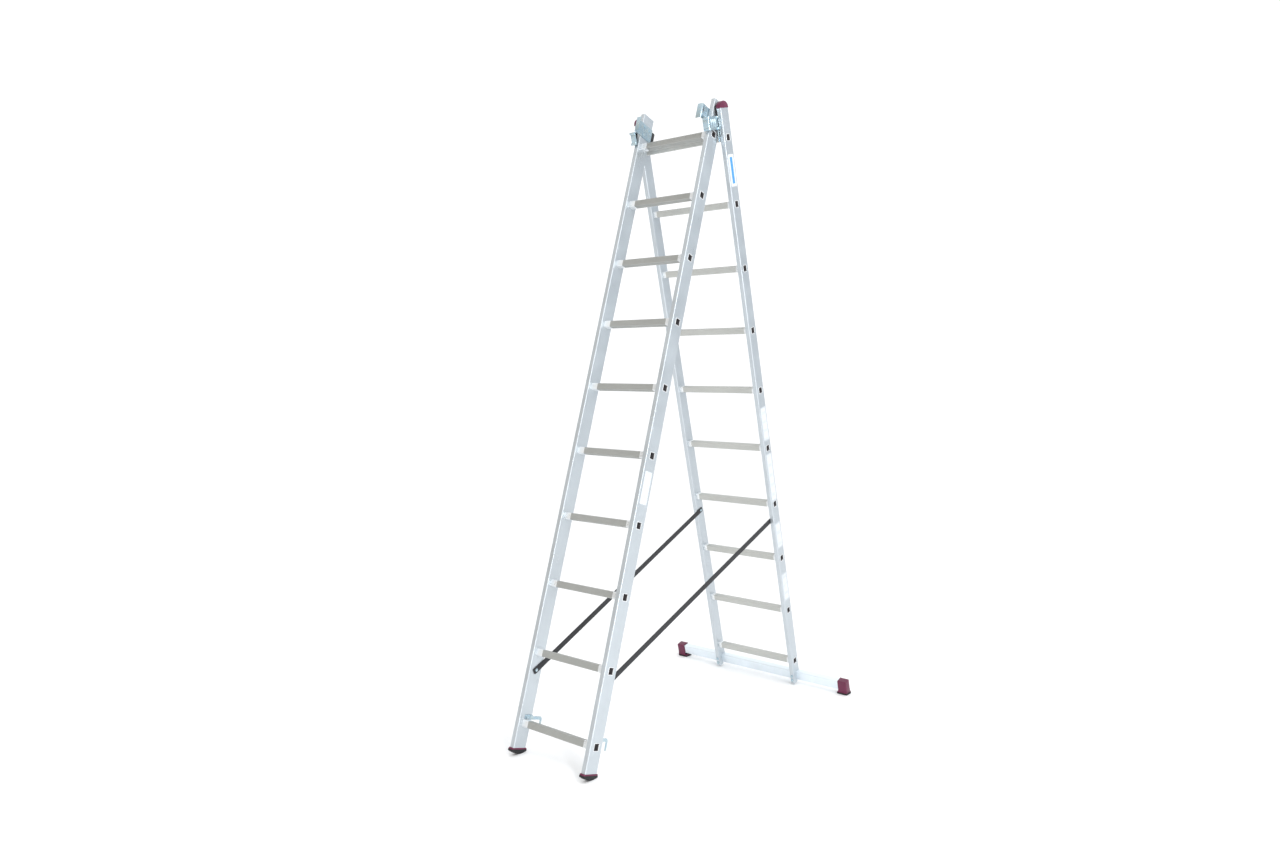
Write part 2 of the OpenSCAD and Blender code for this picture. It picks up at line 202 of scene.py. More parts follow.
def woven(name, colour, along, across):
    """Webbing: diagonal weave in two crossing waves, with fuzz. along and across are unit axes."""
    m, nodes, links, p = shader(name, colour, 0.85)
    coords = nodes.new("ShaderNodeTexCoord")
    waves = []
    for sign in (1, -1):
        rotate = nodes.new("ShaderNodeVectorMath")
        rotate.operation = "DOT_PRODUCT"
        rotate.inputs[1].default_value = (along + across * sign) * 1250.0
        links.new(coords.outputs["Object"], rotate.inputs[0])
        waves.append(arithmetic(nodes, links, "SINE", rotate.outputs["Value"]))
    top = arithmetic(nodes, links, "MAXIMUM", *waves)
    fac = spread(nodes, links, top, 0, 1, -0.6, 1.0)
    links.new(tint(nodes, links, fac, shade(colour, 0.55), shade(colour, 1.35)), p.inputs["Base Color"])
    p.inputs["Sheen Weight"].default_value = 0.12
    relief(nodes, links, p, fac, 0.0004, 0.7)
    return m


def film(name, half_y, half_z, panels):
    """A blank label: white film with a grey border and pale, empty panels or, without panels, a blue bar."""
    white, grey, blue = (0.64, 0.68, 0.72), (0.42, 0.46, 0.50), (0.05, 0.27, 0.62)
    m, nodes, links, p = shader(name, white, 0.35)
    p.inputs["Coat Weight"].default_value = 0.3
    coords = nodes.new("ShaderNodeTexCoord")
    split = nodes.new("ShaderNodeSeparateXYZ")
    links.new(coords.outputs["Object"], split.inputs["Vector"])

    def inward(share_y, share_z):
        """Distance inwards from the edge of a centred rectangle with these shares of the label's size."""
        gaps = []
        for axis, half in (("Y", half_y * share_y), ("Z", half_z * share_z)):
            offset = arithmetic(nodes, links, "ABSOLUTE", split.outputs[axis])
            gaps.append(arithmetic(nodes, links, "SUBTRACT", half, offset))
        return arithmetic(nodes, links, "MINIMUM", *gaps)

    if panels:
        edge = inward(1, 1)
        border = arithmetic(nodes, links, "COMPARE", edge, 0.0035, 0.0007)
        turn = arithmetic(nodes, links, "MULTIPLY", split.outputs["Z"], panels)
        rows = spread(nodes, links, arithmetic(nodes, links, "SINE", turn), 0, 0.3, 0.55, 0.6)
        within = arithmetic(nodes, links, "GREATER_THAN", edge, 0.008)
        panel = arithmetic(nodes, links, "MULTIPLY", rows, within)
        ink = arithmetic(nodes, links, "MAXIMUM", border, panel)
        printed = tint(nodes, links, ink, white, grey)
    else:
        bar = arithmetic(nodes, links, "GREATER_THAN", inward(0.42, 0.82), 0.0)
        printed = tint(nodes, links, bar, white, blue)
    links.new(printed, p.inputs["Base Color"])
    relief(nodes, links, p, noise(nodes, links, 400.0), 0.00005, 0.3)
    return m


STILE_COLOUR = (0.535, 0.58, 0.615)
# Painted shade: the rungs' base colour is set darker than the stiles', for the shade on faces that turn down
# and to the front
SHADED_RUNG_COLOUR = (0.40, 0.407, 0.392)
front_metal = extruded("front_stile_aluminium", STILE_COLOUR, 0.34, (420, 420, 5), -FRONT_LEAN)
rear_metal = extruded("rear_stile_aluminium", STILE_COLOUR, 0.34, (420, 420, 5), REAR_LEAN)
# Painted light: the bar is the stiles' aluminium made 1.45 times as bright
bar_metal_painted_light = extruded("bar_aluminium_painted_light", shade(STILE_COLOUR, 1.45), 0.36, (5, 420, 420))
front_rung_metal_painted_shade = extruded("front_rung_aluminium_painted_shade", SHADED_RUNG_COLOUR, 0.42, (5, 420, 420))
# Painted light: the rear rungs take the front rungs' aluminium made 1.35 times as bright, so they read
# lighter
rear_rung_metal_painted_light = extruded("rear_rung_aluminium_painted_light", shade(SHADED_RUNG_COLOUR, 1.35), 0.42, (5, 420, 420))
# Painted highlight: the swaged collars are painted far brighter than the rungs, for the bright glint where
# each rung meets its stile
collar_metal_painted_highlight = extruded("collar_aluminium_painted_highlight", (0.76, 0.785, 0.80), 0.30, (60, 420, 420), 0.0, 0.5)
# Painted shade: the inside of each open rung end is aluminium painted nearly black, for the shade deep in the
# tube
bore_metal_painted_shade = extruded("bore_aluminium_painted_shade", (0.085, 0.078, 0.082), 0.7, (5, 420, 420), 0.0, 0.3)
zinc = plated("zinc_steel", (0.44, 0.54, 0.60), 0.22)
burgundy = moulded("burgundy_plastic", (0.108, 0.0078, 0.041), 0.42)
black_plastic = moulded("black_plastic", (0.012, 0.0125, 0.015), 0.45)
black_rubber = moulded("black_rubber", (0.0065, 0.007, 0.009), 0.65, 450.0, 0.0004, 0.6)

# ---------------------------------------------------------------- mesh helpers


def rounded(w, d, r, steps=4, ribs=0, depth=0.0, rib_width=0.0):
    """Rounded rectangle about the origin, anticlockwise. Each side may carry ribs of that depth."""
    points = []
    corners = ((w / 2 - r, d / 2 - r), (r - w / 2, d / 2 - r), (r - w / 2, r - d / 2), (w / 2 - r, r - d / 2))
    for q, (cx, cy) in enumerate(corners):
        for k in range(steps + 1):
            a = math.radians(90 * q + 90 * k / steps)
            points.append((cx + r * math.cos(a), cy + r * math.sin(a)))
        if ribs:
            nx, ny = corners[(q + 1) % 4]
            a = math.radians(90 * (q + 1))
            start = Vector((cx + r * math.cos(a), cy + r * math.sin(a)))
            end = Vector((nx + r * math.cos(a), ny + r * math.sin(a)))
            along = (end - start).normalized()
            inward = Vector((-math.cos(a), -math.sin(a)))
            gap = (end - start).length / ribs
            for k in range(ribs):
                middle = start + along * gap * (k + 0.5)
                for t, deep in ((-0.5, 0), (-0.28, 1), (0.28, 1), (0.5, 0)):
                    q2 = middle + along * t * rib_width + inward * deep * depth
                    points.append((q2.x, q2.y))
    return points


def to_x(points, x):
    return [(x, u, v) for u, v in points]


def to_z(points, z, cx=0.0):
    return [(cx + u, v, z) for u, v in points]


def loft(bm, rings, closed=False, caps=True):
    """Skins rings of equal length. closed joins the last ring to the first, caps closes both ends."""
    made = [[bm.verts.new(p) for p in ring] for ring in rings]
    pairs = list(zip(made, made[1:]))
    if closed:
        pairs.append((made[-1], made[0]))
    for a, b in pairs:
        for i in range(len(a)):
            j = (i + 1) % len(a)
            bm.faces.new((a[i], a[j], b[j], b[i]))
    if caps and not closed:
        bm.faces.new(list(reversed(made[0])))
        bm.faces.new(made[-1])


def prism(bm, outline, a, b, bevel=0.0, axis="X", segments=3):
    """An outline drawn in the plane across an axis, extruded along it from a to b, with its edges rounded."""
    put = {"X": lambda u, v, h: (h, u, v), "Z": lambda u, v, h: (u, v, h)}[axis]
    first = [bm.verts.new(put(u, v, a)) for u, v in outline]
    second = [bm.verts.new(put(u, v, b)) for u, v in outline]
    faces = [bm.faces.new(first), bm.faces.new(second)]
    for i in range(len(outline)):
        j = (i + 1) % len(outline)
        faces.append(bm.faces.new((first[i], first[j], second[j], second[i])))
    if bevel:
        bmesh.ops.recalc_face_normals(bm, faces=faces)
        edges = {e for f in faces for e in f.edges if e.calc_face_angle(0) > math.radians(20)}
        bmesh.ops.bevel(
            bm,
            geom=list(edges),
            offset=bevel,
            segments=segments,
            affect="EDGES",
            profile=0.5,
            clamp_overlap=True,
        )


def slab(bm, low, high, bevel):
    """A box between two corners, with its edges rounded."""
    outline = [(low[1], low[2]), (high[1], low[2]), (high[1], high[2]), (low[1], high[2])]
    prism(bm, outline, low[0], high[0], bevel)


def ribbon(path, thickness):
    """Outline of a bent sheet: its centre line drawn with that thickness, and round bends."""
    left, right = [], []
    for i, p in enumerate(path):
        before = Vector(path[max(i - 1, 0)])
        after = Vector(path[min(i + 1, len(path) - 1)])
        d = (after - before).normalized()
        n = Vector((-d.y, d.x)) * thickness / 2
        left.append(tuple(Vector(p) + n))
        right.append(tuple(Vector(p) - n))
    return left + right[::-1]


def bend(centre, r, start, end, steps=6):
    """Points on an arc, in degrees."""
    out = []
    for k in range(steps + 1):
        a = math.radians(start + (end - start) * k / steps)
        out.append((centre[0] + r * math.cos(a), centre[1] + r * math.sin(a)))
    return out


def disc(bm, centre, r, height, axis, dome, segments=28):
    """Round head on its axis from centre, with a rounded rim and a slight dome."""
    side = axis.orthogonal().normalized()
    other = axis.cross(side)
    profile = [(r, 0), (r, height * 0.45), (r * 0.94, height * 0.8), (r * 0.8, height)]
    profile.append((r * 0.3, height + dome))
    rings = []
    for radius, up in profile:
        ring = []
        for k in range(segments):
            a = 2 * math.pi * k / segments
            ring.append(Vector(centre) + axis * up + (side * math.cos(a) + other * math.sin(a)) * radius)
        rings.append(ring)
    loft(bm, rings)


def eased(x0, x1, steps):
    """(x, inset) pairs that round both ends of a loft from x0 to x1. steps are (distance in, inset)."""
    near = [(x0 + distance, inset) for distance, inset in steps]
    far = [(x1 - distance, inset) for distance, inset in reversed(steps)]
    return near + far


def piece(name, bm, place, body, material, replaces=(), flip=False, smooth=32, own_axes=False):
    """Turns bm into an object at place. flip mirrors it to the left, own_axes keeps its own coordinates."""
    if flip:
        bmesh.ops.scale(bm, vec=(-1, 1, 1), verts=bm.verts)
    bmesh.ops.recalc_face_normals(bm, faces=bm.faces)
    data = bpy.data.meshes.new(name)
    bm.to_mesh(data)
    bm.free()
    if not own_axes:
        data.transform(place)
    data.shade_smooth()
    data.set_sharp_from_angle(angle=math.radians(smooth))
    obj = bpy.data.objects.new(name, data)
    bpy.context.scene.collection.objects.link(obj)
    obj.data.materials.append(material)
    if own_axes:
        obj.matrix_world = place
    if body:
        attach(obj, body)
    if replaces:
        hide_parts(*replaces)
    return obj


SIDES = (("left", True), ("right", False))

# ---------------------------------------------------------------- camera, light and floor

scene = bpy.context.scene
yaw, pitch, roll = -0.66751, -0.03749, 0.02029
forward = Vector((math.sin(yaw) * math.cos(pitch), math.cos(yaw) * math.cos(pitch), math.sin(pitch)))
level = Vector((math.cos(yaw), -math.sin(yaw), 0))
upright = level.cross(forward)
right = level * math.cos(roll) + upright * math.sin(roll)
up = upright * math.cos(roll) - level * math.sin(roll)
camera = bpy.data.objects.new("camera", bpy.data.cameras.new("camera"))
camera.data.sensor_fit = "HORIZONTAL"
camera.data.sensor_width = 36.0
camera.data.lens = 25.346
camera.data.clip_end = 100.0
camera.matrix_world = Matrix.Translation((2.36189, -3.25997, 1.44517)) @ Matrix(
    (
        (right.x, up.x, -forward.x, 0),
        (right.y, up.y, -forward.y, 0),
        (right.z, up.z, -forward.z, 0),
        (0, 0, 0, 1),
    )
)
scene.collection.objects.link(camera)
scene.camera = camera
scene.view_settings.view_transform = "Standard"

world = bpy.data.worlds.new("studio")
scene.world = world
world.use_nodes = True
world_nodes, world_links = world.node_tree.nodes, world.node_tree.links
sky = world_nodes["Background"]
# A white studio: dimmer behind the camera's left shoulder, so that the front faces read darker than the
# sides, dimmer to the right of the ladder, out of the picture, and brighter overhead
aim = world_nodes.new("ShaderNodeTexCoord")


def lobe(direction, start, end):
    """0 to 1 as a world direction turns towards this one."""
    dot = world_nodes.new("ShaderNodeVectorMath")
    dot.operation = "DOT_PRODUCT"
    dot.inputs[1].default_value = Vector(direction).normalized()
    world_links.new(aim.outputs["Generated"], dot.inputs[0])
    return spread(world_nodes, world_links, dot.outputs["Value"], 0, 1, start, end)


def mixed(fac, base, colour):
    """Blends base, a colour or a socket, into colour."""
    return tint(world_nodes, world_links, fac, base, colour)


glow = mixed(lobe((-0.59, -0.69, 0.40), 0.45, 0.88), (1.12, 1.13, 1.14), (0.735, 0.70, 0.655))
glow = mixed(lobe((0.66, 0.75, 0.05), 0.70, 0.95), glow, (0.70, 0.735, 0.77))
glow = mixed(lobe((0, 0, 1), 0.45, 0.95), glow, (1.28, 1.29, 1.30))
world_links.new(glow, sky.inputs["Color"])


def softbox(name, at, target, size, power):
    """A rectangular lamp that faces target."""
    lamp = bpy.data.lights.new(name, "AREA")
    lamp.shape = "RECTANGLE"
    lamp.size, lamp.size_y = size
    lamp.energy = power
    obj = bpy.data.objects.new(name, lamp)
    obj.location = at
    obj.rotation_mode = "QUATERNION"
    obj.rotation_quaternion = (Vector(target) - Vector(at)).to_track_quat("-Z", "Y")
    scene.collection.objects.link(obj)


softbox("key", (3.6, -1.4, 3.8), (0, 0, 1.2), (2.2, 2.2), 55)
softbox("edge", (4.0, -2.9, 1.5), (0, 0, 1.4), (0.35, 3.2), 90)

def paper_floor():
    """Plain pale paper, far wider than the picture."""
    bm = bmesh.new()
    slab(bm, (-30, -30, -0.02), (30, 30, 0.0), 0.0)
    data = bpy.data.meshes.new("floor")
    bm.to_mesh(data)
    bm.free()
    obj = bpy.data.objects.new("floor", data)
    scene.collection.objects.link(obj)
    look, nodes, links, p = shader("floor_paper", (0.95, 0.955, 0.96), 0.9)
    cloud = noise(nodes, links, 3.0)
    links.new(tint(nodes, links, cloud, (0.945, 0.95, 0.955), (0.96, 0.965, 0.97)), p.inputs["Base Color"])
    data.materials.append(look)
    return obj


floor = paper_floor()

# ---------------------------------------------------------------- stiles


def stile(name, outer, depth, ends, place, body, metal, flip, notch=None):
    """Thin-walled box section with rounded corners, its ends broken, and square holes for the rungs."""
    bm = bmesh.new()
    s0, s1 = ends
    cx = outer - STILE / 2
    skin = rounded(STILE, depth, 0.0040, 6)
    broken = rounded(STILE - 0.0008, depth - 0.0008, 0.0036, 6)
    inside = rounded(STILE - 2 * WALL, depth - 2 * WALL, 0.0022, 6)
    loft(
        bm,
        [
            to_z(broken, s0, cx),
            to_z(skin, s0 + 0.0005, cx),
            to_z(skin, s1 - 0.0005, cx),
            to_z(broken, s1, cx),
            to_z(inside, s1, cx),
            to_z(inside, s0, cx),
        ],
        closed=True,
    )
    made = piece(name, bm, place, None, metal, (name,), flip, own_axes=True)
    cutter = bmesh.new()
    reach = 0.03
    for i in range(RUNGS):
        hole = [(u, v + i * PITCH) for u, v in rounded(RUNG, RUNG, 0.004, 4)]
        prism(cutter, hole, cx - reach, cx + reach)
    if notch:
        prism(cutter, notch, cx - reach, cx + reach)
    tool = piece(name + "_tool", cutter, place, None, metal, (), flip, own_axes=True)
    cut = made.modifiers.new("cut", "BOOLEAN")
    cut.operation = "DIFFERENCE"
    cut.solver = "EXACT"
    cut.object = tool
    bpy.context.view_layer.update()
    result = bpy.data.meshes.new_from_object(made.evaluated_get(bpy.context.evaluated_depsgraph_get()))
    made.modifiers.clear()
    made.data = result
    bpy.data.objects.remove(tool)
    result.transform(place)
    made.matrix_world = Matrix.Identity(4)
    result.shade_smooth()
    result.set_sharp_from_angle(angle=math.radians(32))
    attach(made, body)


# The sole is an arc that touches the ground. It sets where the foot's sides, its rim and the stile end
sole_radius, foot_half = 0.082, FRONT_DEPTH / 2 + 0.0065
front_rung_z = front_place.translation.z
sole_centre = (sole_radius - front_rung_z) / math.cos(FRONT_LEAN)
side_bottom = sole_centre - math.sqrt(sole_radius**2 - foot_half**2)
rim_bottom = side_bottom + 0.006
stile_bottom = rim_bottom + 0.002
# The rear stiles are notched for the bar, and a tab of each runs down in front of it
bar_top, bar_height, bar_front, bar_depth = -0.064, 0.045, -0.0005, 0.030
tab_bottom = bar_top - bar_height - 0.008
notch = [(bar_front, tab_bottom - 0.01), (0.05, tab_bottom - 0.01), (0.05, bar_top), (bar_front, bar_top)]
front_ends = (stile_bottom, SPAN + FRONT_TOP)
rear_ends = (tab_bottom, SPAN + REAR_TOP)
for side, flip in SIDES:
    name = "front_stile_" + side
    stile(name, FRONT_OUT, FRONT_DEPTH, front_ends, front_place, "front_section", front_metal, flip)
    name = "rear_stile_" + side
    stile(name, REAR_OUT, REAR_DEPTH, rear_ends, rear_place, "rear_section", rear_metal, flip, notch)

# ---------------------------------------------------------------- rungs


def rung(name, inner, outer, level_up, collar, place, body, metal):
    """Square grip rung: ribs between the stiles, a swaged collar at each, and a flared, open end."""
    bm = bmesh.new()

    def ring(size, r, x, depth=0.0):
        shape = rounded(size, size, r, ribs=4, depth=depth, rib_width=0.0030)
        return [(x, u, v + level_up) for u, v in shape]

    half = [
        ring(RUNG, 0.004, inner - collar - 0.004, 0.0010),
        ring(RUNG, 0.004, inner - collar),
        ring(RUNG + 0.0012, 0.0050, inner - collar * 0.85),
        ring(RUNG + 0.0026, 0.0062, inner - collar * 0.6),
        ring(RUNG + 0.0030, 0.0066, inner - collar * 0.3),
        ring(RUNG + 0.0022, 0.0060, inner - 0.0030),
        ring(RUNG + 0.0030, 0.0060, inner - 0.0012),
        ring(RUNG + 0.0024, 0.0056, inner),
        ring(RUNG - 0.0001, 0.0040, inner),
        ring(RUNG - 0.0001, 0.0040, outer),
        ring(RUNG + 0.0032, 0.0056, outer),
        ring(RUNG + 0.0040, 0.0060, outer + 0.0005),
        ring(RUNG + 0.0034, 0.0057, outer + 0.0011),
        ring(RUNG + 0.0018, 0.0049, outer + LIP),
        ring(RUNG - 0.0010, 0.0038, outer + 0.0012),
        ring(RUNG - 0.0030, 0.0030, outer - 0.0005),
        ring(RUNG - 0.0036, 0.0026, outer - 0.003),
    ]
    mirrored = [[(-x, u, v) for x, u, v in r] for r in reversed(half)]
    loft(bm, mirrored + half, closed=True)
    # Second material on the collars, painted bright as a highlight; third inside the bore, painted dark as
    # shade
    limit = RUNG / 2 - 0.0012
    for face in bm.faces:
        at = face.calc_center_median()
        bore = abs(at.y) < limit and abs(at.z - level_up) < limit
        if bore and abs(at.x) < outer + 0.0008:
            face.material_index = 2
        elif abs(at.x) > inner - collar * 0.95:
            face.material_index = 1
    made = piece(name, bm, place, body, metal, (name,), smooth=40)
    made.data.materials.append(collar_metal_painted_highlight)
    made.data.materials.append(bore_metal_painted_shade)


# Lengths of the collars. The rear section's top rung is the hinge, and the saddles leave its collars
# little room
FRONT_COLLAR, REAR_COLLAR, HINGE_COLLAR = 0.030, 0.016, 0.009
for i in range(RUNGS):
    up_stile = i * PITCH
    name = f"front_rung_{i + 1}"
    rung(name, FRONT_IN, FRONT_OUT, up_stile, FRONT_COLLAR, front_place, "front_section", front_rung_metal_painted_shade)
    collar = HINGE_COLLAR if i == RUNGS - 1 else REAR_COLLAR
    name = f"rear_rung_{i + 1}"
    rung(name, REAR_IN, REAR_OUT, up_stile, collar, rear_place, "rear_section", rear_rung_metal_painted_light)

# ---------------------------------------------------------------- feet and caps

# How far feet and caps stand proud of the stile on each side
PROUD = 0.0015


def foot_cap(side, flip):
    """Burgundy rim of a front foot, with a rolled edge."""
    bm = bmesh.new()
    cx = FRONT_OUT - STILE / 2
    w, d = STILE + 2 * PROUD, 2 * foot_half
    fit_w, fit_d = STILE + 0.0002, FRONT_DEPTH + 0.0002
    loft(
        bm,
        [
            to_z(rounded(w - 0.0012, d - 0.0012, 0.0040), rim_bottom, cx),
            to_z(rounded(w, d, 0.0046), rim_bottom + 0.0008, cx),
            to_z(rounded(w, d - 0.0006, 0.0046), rim_bottom + 0.0032, cx),
            to_z(rounded(w - 0.0008, d - 0.0030, 0.0044), rim_bottom + 0.0048, cx),
            to_z(rounded(w - 0.0018, d - 0.0080, 0.0042), rim_bottom + 0.0060, cx),
            to_z(rounded(fit_w, fit_d, 0.0040), rim_bottom + 0.0060, cx),
            to_z(rounded(fit_w, fit_d, 0.0040), stile_bottom, cx),
        ],
    )
    name = "foot_cap_" + side
    piece(name, bm, front_place, "front_section", burgundy, (name,), flip)


def foot_sole(side, flip):
    """Black sole of a front foot: upright sides, and a convex tread grooved across."""
    bm = bmesh.new()
    tread = []
    steps = 100
    for k in range(steps + 1):
        y = -foot_half + 2 * foot_half * k / steps
        groove = 0.0012 if 8 < k < 92 and k % 9 in (3, 4) else 0.0
        tread.append((y, sole_centre - math.sqrt(sole_radius**2 - y * y) + groove))
    edge = [(1, -0.0016), (0.985, -0.0010), (0.985, 0)]
    edge += [(-y, z) for y, z in reversed(edge)]
    rings = []
    rounding = ((0, 0.0016), (0.0006, 0.0006), (0.0018, 0.0))
    for x, inset in eased(FRONT_IN - PROUD, FRONT_OUT + PROUD, rounding):
        shrink = 1 - inset / foot_half
        ring = [(x, y * shrink, z + inset) for y, z in tread]
        ring += [(x, foot_half * y * shrink, rim_bottom + z) for y, z in edge]
        rings.append(ring)
    loft(bm, rings)
    name = "foot_sole_" + side
    piece(name, bm, front_place, "front_section", black_rubber, (name,), flip)


def rear_top_cap(side, flip):
    """Domed cap on a rear stile, with a moulded seam."""
    bm = bmesh.new()
    top = SPAN + REAR_TOP
    r, dome_height = REAR_DEPTH / 2 + PROUD, 0.026
    base, spring = top - 0.009, top - 0.006
    dome = []
    for k in range(41):
        a = math.pi * k / 40
        dome.append((r * math.cos(a), spring + dome_height * math.sin(a)))
    outline = [(r - 0.0006, base), (r, base + 0.0006)] + dome + [(-r, base + 0.0006), (0.0006 - r, base)]
    rings = []
    rounding = ((0, 0.0026), (0.0009, 0.0010), (0.0030, 0.0))
    for x, inset in eased(REAR_IN - PROUD, REAR_OUT + PROUD, rounding):
        k = 1 - inset / r
        lower = 1 - inset / dome_height
        rings.append([(x, y * k, z if z <= spring else spring + (z - spring) * lower) for y, z in outline])
    loft(bm, rings)
    name = "rear_top_cap_" + side
    piece(name, bm, rear_place, "rear_section", burgundy, (name,), flip)


for side, flip in SIDES:
    foot_cap(side, flip)
    foot_sole(side, flip)
    rear_top_cap(side, flip)

# ---------------------------------------------------------------- stabiliser bar

cap_x0, cap_x1 = BAR_HALF - BAR_CAP, BAR_HALF
# The caps' soles: how thick they are, and where they end behind
sole_t, sole_back = 0.008, 0.042


def bar_section(w, d, r):
    """Rounded rectangle in the middle of the bar."""
    return [(u + bar_front + bar_depth / 2, v + bar_top - bar_height / 2) for u, v in rounded(w, d, r, 5)]


def crossbar_tube():
    """The bar, a thin-walled tube that reaches a little way into both caps."""
    bm = bmesh.new()
    reach = cap_x0 + 0.018
    outer = bar_section(bar_depth, bar_height, 0.0035)
    inner = bar_section(bar_depth - 0.004, bar_height - 0.004, 0.0015)
    loft(bm, [to_x(outer, -reach), to_x(outer, reach), to_x(inner, reach), to_x(inner, -reach)], closed=True)
    piece("crossbar_tube", bm, rear_place, "rear_section", bar_metal_painted_light, ("crossbar_tube",))


def rear_level(y, z):
    """Height up the rear section where depth y meets the level z above the ground."""
    return (z - REAR_FOOT_Z - y * math.sin(REAR_LEAN)) / math.cos(REAR_LEAN)


def crossbar_end_cap(side, flip):
    """Burgundy boot on the bar's end, with a rib round its mouth and a flange above its sole."""
    bm = bmesh.new()
    body_outline = [
        (-0.0015, bar_top + 0.003),
        (bar_depth + 0.002, bar_top + 0.003),
        (bar_depth + 0.004, bar_top),
        (bar_depth + 0.004, bar_top - bar_height),
        (sole_back - 0.001, rear_level(sole_back - 0.001, sole_t)),
        (-0.006, rear_level(-0.006, sole_t)),
        (-0.0035, bar_top - bar_height),
        (-0.0035, bar_top),
    ]
    mouth = cap_x0 + 0.006
    prism(bm, body_outline, mouth, cap_x1, 0.0022)
    grown = [(y + (0.0008 if y > 0.01 else -0.0008), z) for y, z in body_outline]
    grown[0] = (grown[0][0], grown[0][1] + 0.0006)
    grown[1] = (grown[1][0], grown[1][1] + 0.0006)
    prism(bm, grown, mouth, cap_x0 + 0.011, 0.0012)
    # The flange reaches towards the middle of the ladder
    low_y, high_y = -0.0062, sole_back - 0.0008
    flange = [(low_y, rear_level(low_y, sole_t)), (high_y, rear_level(high_y, sole_t))]
    flange += [(high_y, rear_level(high_y, sole_t + 0.005)), (low_y, rear_level(low_y, sole_t + 0.005))]
    prism(bm, flange, cap_x0, cap_x1, 0.0014)
    name = "crossbar_end_cap_" + side
    piece(name, bm, rear_place, "rear_section", burgundy, (name,), flip)


def crossbar_sole(side, flip):
    """Black sole under an end cap, level with the ground and grooved along the bar."""
    bm = bmesh.new()
    a, b = -0.007, sole_back
    shoulder = sole_t * 0.35
    tread = [(a, rear_level(a, sole_t)), (a, rear_level(a, shoulder)), (a + 0.003, rear_level(a + 0.003, 0))]
    count = 6
    width = (b - a - 0.006) / count
    for k in range(1, count):
        y = a + 0.003 + width * k
        for dy, z in ((-0.001, 0), (-0.0006, 0.0012), (0.0006, 0.0012), (0.001, 0)):
            tread.append((y + dy, rear_level(y + dy, z)))
    tread += [(b - 0.003, rear_level(b - 0.003, 0)), (b, rear_level(b, shoulder)), (b, rear_level(b, sole_t))]
    rings = []
    for x, lift in eased(cap_x0, cap_x1, ((0, 0.0012), (0.0012, 0))):
        rings.append([(x, y, z + (lift if z < rear_level(y, sole_t * 0.9) else 0)) for y, z in tread])
    loft(bm, rings)
    name = "crossbar_sole_" + side
    piece(name, bm, rear_place, "rear_section", black_rubber, (name,), flip)


crossbar_tube()
for side, flip in SIDES:
    crossbar_end_cap(side, flip)
    crossbar_sole(side, flip)

# ---------------------------------------------------------------- brackets, hook plates, hooks and saddles

guide_bottom, guide_top = SPAN + 0.037, SPAN + 0.092
guide_front = HINGE_BACK + FRONT_DEPTH / 2 + 0.0011
# Radius of the sheet steel's bends, along the middle of its thickness
turn = 0.005


def guide_bracket(side, flip):
    """Sheet steel channel: a fluted side plate that turns in round the front stile, with rolled rims."""
    bm = bmesh.new()
    cx = REAR_IN - PLATE / 2
    path = [(cx, 0.025), (cx, -0.038)]
    for k in range(3):
        y = -0.046 - k * 0.015
        path += [(cx + 0.0002, y), (cx + 0.0022, y - 0.003)]
        path += [(cx + 0.0024, y - 0.0065), (cx + 0.0002, y - 0.0095)]
    path += [(cx, -guide_front + turn - PLATE / 2 - 0.0005)]
    path += bend((cx - turn, -guide_front + turn - PLATE / 2), turn, 0, -90)
    path += [(FRONT_IN + 0.0022, -guide_front - PLATE / 2)]
    prism(bm, ribbon(path, PLATE), guide_bottom, guide_top, 0.0006, "Z", 2)
    # A rim along each edge: round the lip, along the side, and out over the rear stile
    rim_x = REAR_IN + 0.0022
    lip_y = -guide_front - PLATE - 0.0015
    rim = [(FRONT_IN + 0.0048, lip_y), (rim_x - 0.012, lip_y)]
    rim += bend((rim_x - 0.009, lip_y + 0.009), 0.009, -80, 0, 6)
    rim += [(rim_x, -0.044)]
    rim += bend((rim_x + 0.0065, -0.0425), 0.0065, 180, 100, 5)
    rim += [(REAR_IN + 0.013, -0.0360)]
    for z in (guide_bottom, guide_top - 0.010):
        prism(bm, ribbon(rim, 0.0056), z, z + 0.010, 0.0024, "Z", 4)
    # Leg that hangs down beside the rear stile's front corner
    slab(bm, (REAR_IN - PLATE, -0.039, guide_bottom - 0.051), (REAR_IN, -0.030, guide_bottom + 0.001), 0.0011)
    name = "guide_bracket_" + side
    piece(name, bm, rear_place, "rear_section", zinc, (name,), flip)


def top_hook_plate(side, flip):
    """Hook plate in the top of a front stile, its lip turned towards the middle of the ladder."""
    bm = bmesh.new()
    cx = FRONT_IN - PLATE / 2
    corner_y = -0.080 + 0.0035
    path = [(cx, FRONT_DEPTH / 2), (cx, -0.040), (cx - 0.001, -0.046), (cx - 0.001, -0.060), (cx, -0.066)]
    path += [(cx, corner_y)]
    path += bend((cx - turn, corner_y), turn, 0, -90)
    path += [(FRONT_IN - 0.026, -0.0815)]
    prism(bm, ribbon(path, PLATE), SPAN + 0.040, SPAN + 0.104, 0.0006, "Z", 2)
    name = "top_hook_plate_" + side
    piece(name, bm, front_place, "front_section", zinc, (name,), flip)


def rung_hook(side, flip):
    """Flat steel hook at the bottom of a front stile: an inverted J with round bends."""
    bm = bmesh.new()
    crest = bend((0.078, 0.0135), 0.0135, 90, 0)
    throat = bend((0.0765, 0.0075), 0.0065, 0, 90)
    outline = [(-0.006, 0.033), (-0.006, 0.0175), (0.017, 0.0175), (0.020, 0.014)] + throat[::-1]
    outline += [(0.0830, -0.019), (0.0850, -0.021), (0.0895, -0.021), (0.0915, -0.019)] + crest[::-1]
    outline += [(0.037, 0.027), (0.031, 0.033)]
    prism(bm, outline, FRONT_IN - HOOK, FRONT_IN, 0.0008, "X", 2)
    name = "rung_hook_" + side
    piece(name, bm, front_place, "front_section", zinc, (name,), flip)


